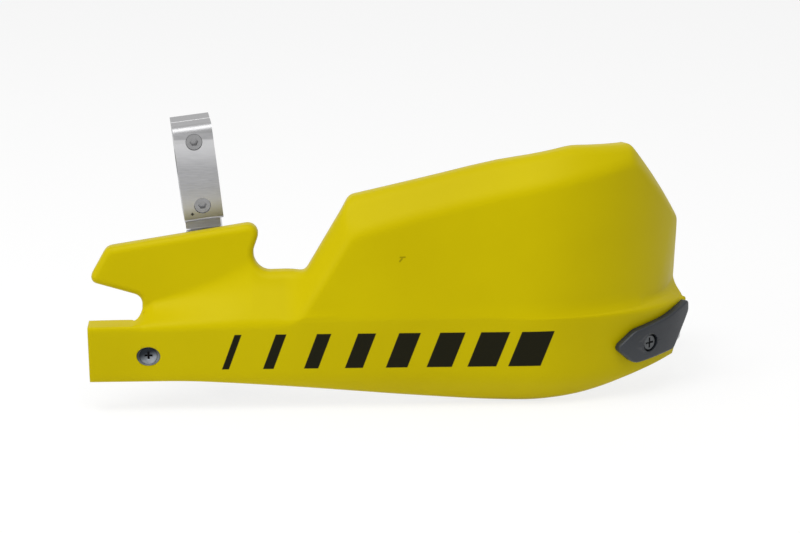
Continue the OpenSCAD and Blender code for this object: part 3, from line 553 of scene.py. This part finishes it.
# Two short scratches meet in a nick on the front of the shield
nick = moulded.maths("MAXIMUM", scratch(0.1081, -0.0378, 0.1118, -0.0377, 0.0006),
                     scratch(0.1101, -0.0379, 0.1080, -0.0405, 0.0007))
nick = moulded.maths("MULTIPLY", nick, in_front)
colour = moulded.mix(moulded.between(cloud, 0.3, 0.7), YELLOW, YELLOW_DEEP)
colour = moulded.mix(moulded.maths("MULTIPLY", nick, 0.6), colour, NICKED)
moulded.set("Base Color", moulded.mix(printed, colour, PRINT))
moulded.set("Roughness", moulded.maths("MULTIPLY_ADD", peel, 0.12, 0.36))
height = moulded.maths("ADD", moulded.maths("MULTIPLY", grain, 0.5), peel)
height = moulded.maths("ADD", height, moulded.maths("MULTIPLY", printed, 2.0))
moulded.bump(moulded.maths("SUBTRACT", height, moulded.maths("MULTIPLY", nick, 4.0)), 0.00003, 0.6)
shell.data.materials.clear()
shell.data.materials.append(moulded.material)

# SKID PLATE
# A thick wear plate in blue-black plastic over the outer end of the band. It is moulded with
# rounded edges and held by one screw whose head is sunk in it, so that a worn one is replaced.
SKID_L, SKID_T, SKID_BACK, SKID_ROUND, SKID_CROWN = 60.0, 4.5, 0.3, 1.5, 0.1
SKID_HEAD, SKID_HEAD_H, SKID_HOLE, SKID_DRILL = 5.0, 3.4, 2.7, 20


def at_skid(u, h):
    """A point of the plate's outline, as shares of its length and of the band's height."""
    return [RUN - SKID_L + u * SKID_L, BAND_BOTTOM + h * BAND_H]


skid_corners = [[*at_skid(u, h), r] for u, h, r in (
    (0, 0.45, 3), (0.2, 0.72, 9), (0.6, 0.83, 40), (0.905, 1, 2),
    (0.932, 0.81, 4), (0.745, 0.17, 4), (0.5, 0.14, 30), (0.22, 0.11, 9))]
start = (np.array(skid_corners[0][:2]) + np.array(skid_corners[-1][:2])) / 2
outline, lengths, _ = rounded_line([[*start, 0], *skid_corners, [*start, 0]])
n_skid = 220
at = np.linspace(0, lengths[-1], n_skid, endpoint=False)
outline = np.stack([np.interp(at, lengths, outline[:, k]) for k in (0, 1)], 1)
middle = np.array(at_skid(0.53, 0.45))
inwards = middle - outline
reach = np.linalg.norm(inwards, axis=1, keepdims=True)
rings = [(0.0, SKID_BACK), (0.0, SKID_T * 0.35)]
rings += [(SKID_ROUND * (1 - math.cos(a)), SKID_T - SKID_ROUND * (1 - math.sin(a)))
          for a in np.linspace(0, math.pi / 2, 7)]
loops = [(outline + inwards / reach * step, d) for step, d in rings]
loops = [(outline + inwards * t, SKID_BACK) for t in (0.8, 0.6, 0.4, 0.2)] + loops
last = loops[-1][0]
loops += [(last + (middle - last) * t, SKID_T + SKID_CROWN * (1 - (1 - t) ** 2))
          for t in (0.12, 0.3, 0.5, 0.7, 0.85)]
loops += [(middle[None], SKID_BACK), (middle[None], SKID_T + SKID_CROWN)]
verts = np.concatenate([
    on_path(p[:, 0], p[:, 1], face_d(p[:, 0], p[:, 1]) + d) * MM for p, d in loops])
polys = []
for r in range(len(loops) - 3):
    for k in range(n_skid):
        j = (k + 1) % n_skid
        polys.append([r * n_skid + j, (r + 1) * n_skid + j, (r + 1) * n_skid + k])
        polys.append([r * n_skid + j, (r + 1) * n_skid + k, r * n_skid + k])
top = (len(loops) - 3) * n_skid
polys += [[len(verts) - 2, (k + 1) % n_skid, k] for k in range(n_skid)]
polys += [[len(verts) - 1, top + k, top + (k + 1) % n_skid] for k in range(n_skid)]
skid = mesh_piece("skid_cover", verts, polys)
head_seat = SKID_T - SKID_HEAD_H - TUCK * (BAR_DROP + CREASE_TOP)
way, skid_screw = outwards(SKID_SCREW), on_path(SKID_SCREW, -SKID_DROP, 0)
head_middle = skid_screw + way * (head_seat + SKID_DRILL)
cut_out(skid, oval(SKID_HEAD), head_middle * MM, way, SKID_DRILL * MM)
cut_out(skid, oval(SKID_HOLE), skid_screw * MM, way, SKID_DRILL * MM)
dark = Finish("blue_black_plastic")
dark.set("Specular IOR Level", 0.35)
x, y, z = dark.axes()
# Painted highlight: paler towards its inner and lower end
painted_highlight = dark.maths("ADD", dark.maths("MULTIPLY", x, -0.6), dark.maths("MULTIPLY", z, -1))
painted_highlight = dark.maths("MULTIPLY_ADD", dark.noise(90, 4), 0.012, painted_highlight)
painted_highlight = dark.between(painted_highlight, -0.058, -0.022)
bare = dark.mix(dark.noise(70, 4), (0.014, 0.017, 0.023), (0.022, 0.026, 0.033))
dark.set("Base Color", dark.mix(painted_highlight, bare, (0.042, 0.048, 0.056)))
dark.set("Roughness", dark.maths("MULTIPLY_ADD", dark.noise(180, 3), 0.16, 0.34))
dark.bump(dark.noise(2400, 2), 0.00004, 0.7)
skid.data.materials.clear()
skid.data.materials.append(dark.material)
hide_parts("skid_plate")
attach(skid, "root")

# CLAMP
# The clamp closes round the handlebar in two halves, and the rear one is in one piece with the
# arm that steps forward under it. Both are machined aluminium, brushed bright on their faces.
brushed = Finish("brushed_aluminium", 1.0)
ROLL = math.radians(6.1)
# Brushed along the handlebar, which slopes through the clamp
lines = brushed.noise(60, 3, (1, 28, 28), (0, ROLL, 0))
fine = brushed.noise(240, 2, (1, 14, 14), (0, ROLL, 0))
x, y, z = brushed.axes()
# A small dark spot painted in the face as the shade of a small hollow
painted_dent_shade = brushed.maths("ADD", brushed.maths("ABSOLUTE", brushed.maths("ADD", x, 0.0020)),
                     brushed.maths("ABSOLUTE", brushed.maths("ADD", z, 0.0222)))
painted_dent_shade = brushed.maths("MULTIPLY", brushed.between(painted_dent_shade, 0.0013, 0.0007),
                     brushed.between(y, -0.006, -0.009))
bare = brushed.mix(lines, (0.31, 0.31, 0.32), (0.46, 0.46, 0.47))
# Painted sheen: lighter over the bulge of the face and towards its lower part, and painted shade
# darker on the shoulder
painted_sheen = brushed.maths("MULTIPLY", brushed.between(z, 0.002, 0.0165),
                      brushed.between(z, 0.0192, 0.0182))
low_painted_sheen = brushed.maths("MULTIPLY", brushed.between(z, -0.006, -0.020), 0.8)
painted_sheen = brushed.maths("MAXIMUM", painted_sheen, low_painted_sheen)
bare = brushed.mix(brushed.maths("MULTIPLY", painted_sheen, 0.7), bare, (0.62, 0.62, 0.63))
# Painted shade: the land on the shoulder above the upper screw is darker
bare = brushed.mix(brushed.between(z, 0.0218, 0.0226), bare, (0.33, 0.33, 0.335))
brushed.set("Base Color", brushed.mix(painted_dent_shade, bare, (0.06, 0.06, 0.06)))
brushed.set("Roughness", brushed.maths("MULTIPLY_ADD", fine, 0.18, 0.34))
brushed.bump(brushed.maths("ADD", lines, fine), 0.00002, 0.7)


def finished(names, finish, rounding=0.00025):
    """Gives parts their finish and breaks their sharp edges."""
    for name in names:
        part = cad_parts[name]
        part.data.materials.clear()
        part.data.materials.append(finish.material)
        bevel = part.modifiers.new("broken edges", "BEVEL")
        bevel.width, bevel.segments, bevel.limit_method = rounding, 2, "ANGLE"
        bevel.angle_limit, bevel.harden_normals = math.radians(40), True


finished(["clamp_cap", "clamp_bracket"], brushed, 0.0004)

# BACKBONE
# A flat bar of aluminium bent back to the end of the handlebar and left as it comes from the
# mill. The spacers are turned from round stock, and the slotted sleeve grips inside the bar.
mill = Finish("mill_aluminium", 1.0)
drawn = mill.noise(90, 3, (0.5, 0.5, 12))
mill.set("Base Color", mill.mix(drawn, (0.46, 0.47, 0.48), (0.58, 0.585, 0.59)))
mill.set("Roughness", mill.maths("MULTIPLY_ADD", mill.noise(420, 3), 0.2, 0.32))
mill.bump(drawn, 0.00002, 0.6)
finished(["backbone", "mount_spacer", "bar_end_spacer", "expander_sleeve"], mill)

# SCREW OF THE BAND
# The band's inner screw sits in a dished plastic washer that fills an oval hole in the shell.
# The screw is turned steel with dull zinc on it, and its cross is pressed in the dished head.
BAR_D = WALL + TUCK * (BAND_H / 2 + BAR_DROP + CREASE_TOP) + 0.4
BACKBONE_T, FREE, NUT_H, THREAD_OVER = 6, 0.2, 4, 1.5
CROSS, CROSS_WALL, CROSS_AT, CROSS_DRILL = 2.05, 0.55, 3.0, 7.4


def turned_part(name, profile, hollow=False, flat_from=99.0, squash=1.0, n=72):
    """A part turned about the inner screw's axis, from (radius, distance out) points.

    Beyond the radius flat_from it is squashed in height. A hollow one closes on itself.
    """
    middle = on_path(GUARD_SCREW, -BAR_DROP, 0)
    angles, verts = [2 * math.pi * k / n for k in range(n)], []
    for r, d in profile:
        low = squash if r > flat_from else 1.0
        verts += [(middle + [r * math.cos(a), -d, low * r * math.sin(a)]) * MM for a in angles]
    loops = len(profile)
    rounds = loops if hollow else loops - 1
    polys = []
    for i in range(rounds):
        a, b = i * n, (i + 1) % loops * n
        polys += [[a + k, a + (k + 1) % n, b + (k + 1) % n, b + k] for k in range(n)]
    if not hollow:
        polys += [list(range(n))[::-1], list(range((loops - 1) * n, loops * n))]
    return mesh_piece(name, verts, polys)


dished = turned_part("dished_washer", [
    (4.7, -BAR_D), (6.1, -BAR_D), (6.2, -BAR_D + 0.1), (6.2, -2.2), (6.15, -1.95), (5.95, -1.86),
    (5.7, -1.95), (5.2, -2.22), (4.85, -2.42), (4.75, -2.5), (4.7, -2.6)],
    hollow=True, flat_from=5.5, squash=DISH_H / DISH)
head_bottom, screw_end = -BAR_D + 1.4, -BAR_D - BACKBONE_T - FREE - NUT_H - THREAD_OVER
screw = turned_part("dished_screw", [
    (0.05, screw_end), (2.2, screw_end), (2.5, screw_end + 0.3), (2.5, head_bottom),
    (4.5, head_bottom), (4.6, head_bottom + 0.1), (4.6, -2.62), (4.55, -2.5), (4.45, -2.48),
    (4.2, -2.55), (3.4, -2.85), (2.6, -3.1), (1.8, -3.25), (0.9, -3.32), (0.05, -3.33)])
way, cross_middle = outwards(GUARD_SCREW), on_path(GUARD_SCREW, -BAR_DROP, 0)
for wide, tall in ((CROSS_WALL, CROSS), (CROSS, CROSS_WALL)):
    cross = [(-wide, -tall), (wide, -tall), (wide, tall), (-wide, tall)]
    cut_out(screw, [(u * MM, v * MM) for u, v in cross],
            (cross_middle + way * CROSS_AT) * MM, way, CROSS_DRILL * MM)
dull = Finish("dull_zinc", 1.0)
x, y, z = dull.axes()
# Painted shade: the cross is black inside
cross_painted_shade = dull.maths("MULTIPLY", dull.between(y, -0.0507, -0.0505),
                      dull.between(y, -0.0490, -0.0494))
bloom = dull.between(dull.noise(420, 4), 0.35, 0.65)
bare = dull.mix(bloom, (0.20, 0.22, 0.24), (0.27, 0.29, 0.32))


def painted_dish_shade(finish):
    """Painted shade under the upper edge of the dish, darker towards the top."""
    x, _, z = finish.axes()
    down, aside, screw_x = -0.94, 0.35, (BAND_START + GUARD_SCREW) * MM
    fall = finish.maths("ADD", finish.maths("MULTIPLY", z, down), down * BAR_DROP * MM)
    aslant = finish.maths("MULTIPLY_ADD", x, aside, -aside * screw_x)
    return finish.between(finish.maths("ADD", fall, aslant), 0.0028, -0.0022)


# Painted shade in the upper part of the dish
bare = dull.mix(painted_dish_shade(dull), bare, (0.022, 0.026, 0.032))
dull.set("Base Color", dull.mix(cross_painted_shade, bare, (0.008, 0.008, 0.009)))
dull.set("Roughness", dull.maths("MULTIPLY_ADD", dull.noise(900, 2), 0.2, 0.28))
dull.bump(dull.noise(2600, 2), 0.00002, 0.5)
grey = Finish("grey_plastic")
grey.set("Roughness", 0.3)
bare = grey.mix(grey.noise(300, 3), (0.12, 0.135, 0.15), (0.16, 0.178, 0.195))
# Painted shade in the upper part of the dish
grey.set("Base Color", grey.mix(painted_dish_shade(grey), bare, (0.014, 0.017, 0.021)))
grey.bump(grey.noise(2400, 2), 0.00002, 0.5)
for part, finish, node, slot in ((dished, grey, "guard_screw_washer", "dark_plastic"),
                                 (screw, dull, "guard_screw", "zinc_steel")):
    part.data.materials.clear()
    part.data.materials.append(finish.material)
    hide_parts(node)
    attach(part, "root")

# SCREWS
# Screws, washers and nuts in steel: zinc plated at the mount and the bar end, bright in the
# clamp, and black for the skid plate's screw, whose head sits deep in its hole.
zinc = Finish("zinc_plate", 1.0)
bloom = zinc.between(zinc.noise(320, 4), 0.35, 0.65)
zinc.set("Base Color", zinc.mix(bloom, (0.34, 0.37, 0.42), (0.48, 0.51, 0.56)))
zinc.set("Roughness", zinc.maths("MULTIPLY_ADD", zinc.noise(900, 2), 0.22, 0.26))
zinc.bump(zinc.noise(2600, 2), 0.00002, 0.5)
finished(["mount_bolt", "mount_washer", "mount_nut",
          "bar_end_bolt", "bar_end_washer", "expander_cone",
          "guard_screw_nut", "skid_screw_nut"], zinc, 0.0002)
steel = Finish("bright_steel", 1.0)
steel.set("Base Color", steel.mix(steel.noise(500, 3), (0.24, 0.24, 0.245), (0.36, 0.36, 0.365)))
steel.set("Roughness", steel.maths("MULTIPLY_ADD", steel.noise(900, 2), 0.16, 0.2))
steel.bump(steel.noise(2600, 2), 0.00002, 0.4)
finished(["clamp_screw_upper", "clamp_screw_lower"], steel, 0.0003)
black = Finish("black_plate", 0.8)
black.set("Base Color", black.mix(black.noise(500, 3), (0.07, 0.075, 0.08), (0.12, 0.125, 0.13)))
black.set("Roughness", black.maths("MULTIPLY_ADD", black.noise(1200, 2), 0.2, 0.3))
black.bump(black.noise(2600, 2), 0.00002, 0.5)
finished(["skid_screw"], black, 0.0002)

# STAND AND LIGHT
# A pale floor under the guard, soft light from above and in front, and the camera where the
# photographer stood: a little above the band and square to it.
FLOOR_HALF, FLOOR_Z, FLOOR_GLOW, FLOOR_SHARE = 4, cad_low.z - 0.001, 1.08, 0.72
floor = mesh_piece("floor", [(u * FLOOR_HALF, v * FLOOR_HALF, FLOOR_Z) for u, v in (
    (-1, -1), (1, -1), (1, 1), (-1, 1))], [[0, 1, 2, 3]], False)
pale = bpy.data.materials.new("pale_floor")
pale.use_nodes = True
nodes, links = pale.node_tree.nodes, pale.node_tree.links
matt, glow = nodes["Principled BSDF"], nodes.new("ShaderNodeEmission")
blend, path = nodes.new("ShaderNodeMixShader"), nodes.new("ShaderNodeLightPath")
matt.inputs["Base Color"].default_value = (0.86, 0.86, 0.86, 1)
matt.inputs["Roughness"].default_value = 0.9
seen = nodes.new("ShaderNodeMath")
seen.operation = "MAXIMUM"
links.new(path.outputs["Is Camera Ray"], seen.inputs[0])
links.new(path.outputs["Is Glossy Ray"], seen.inputs[1])
share = nodes.new("ShaderNodeMath")
share.operation = "MULTIPLY"
share.inputs[1].default_value = FLOOR_SHARE
links.new(seen.outputs[0], share.inputs[0])
links.new(share.outputs[0], blend.inputs[0])
links.new(matt.outputs[0], blend.inputs[1])
links.new(glow.outputs[0], blend.inputs[2])
links.new(blend.outputs[0], nodes["Material Output"].inputs["Surface"])
glow.inputs["Strength"].default_value = FLOOR_GLOW
floor.data.materials.append(pale)
floor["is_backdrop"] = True

# The room lights the guard at a plain level, and metal and glass show it white
ROOM_LIGHT = 0.385
world = bpy.data.worlds.new("studio")
bpy.context.scene.world = world
world.use_nodes = True
nodes, links = world.node_tree.nodes, world.node_tree.links
light, path = nodes["Background"], nodes.new("ShaderNodeLightPath")
seen, third = nodes.new("ShaderNodeMath"), nodes.new("ShaderNodeMath")
seen.operation = third.operation = "MAXIMUM"
links.new(path.outputs["Is Camera Ray"], seen.inputs[0])
links.new(path.outputs["Is Glossy Ray"], seen.inputs[1])
links.new(seen.outputs[0], third.inputs[0])
links.new(path.outputs["Is Transmission Ray"], third.inputs[1])
level = nodes.new("ShaderNodeMapRange")
links.new(third.outputs[0], level.inputs[0])
level.inputs[3].default_value = ROOM_LIGHT
level.inputs[4].default_value = 1.0
links.new(level.outputs[0], light.inputs["Strength"])
light.inputs["Color"].default_value = (1, 1, 1, 1)


def lamp(name, place, aim, size, power):
    data = bpy.data.lights.new(name, "AREA")
    data.shape, data.size, data.size_y, data.energy = "RECTANGLE", size[0], size[1], power
    piece = bpy.data.objects.new(name, data)
    piece.location = place
    piece.rotation_euler = (Vector(aim) - Vector(place)).to_track_quat("-Z", "Y").to_euler()
    bpy.context.scene.collection.objects.link(piece)


lamp("soft_box_above", (-0.15, -0.45, 1.3), (0.1, 0, -0.05), (1.4, 0.9), 15)
lamp("soft_box_left", (-1.2, -1.1, 0.5), (0.1, 0, -0.05), (0.9, 0.9), 6)

TURN, RISE, DISTANCE, AIM = math.radians(-2), math.radians(16), 1.3, (110.2, -53.8)
right = np.array([math.cos(TURN), math.sin(TURN), 0])
level_back = np.array([math.sin(TURN), -math.cos(TURN), 0])
behind = level_back * math.cos(RISE) + np.array([0, 0, math.sin(RISE)])
upwards = np.cross(behind, right)
target = (AIM[0] * right + AIM[1] * upwards) * MM
data = bpy.data.cameras.new("camera")
data.lens, data.sensor_width = 108, 36
camera = bpy.data.objects.new("camera", data)
bpy.context.scene.collection.objects.link(camera)
camera.matrix_world = Matrix.Translation(Vector(target + behind * DISTANCE)) @ Matrix(
    (right, upwards, behind)).transposed().to_4x4()
bpy.context.scene.camera = camera
bpy.context.scene.view_settings.view_transform = "Standard"

low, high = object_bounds()
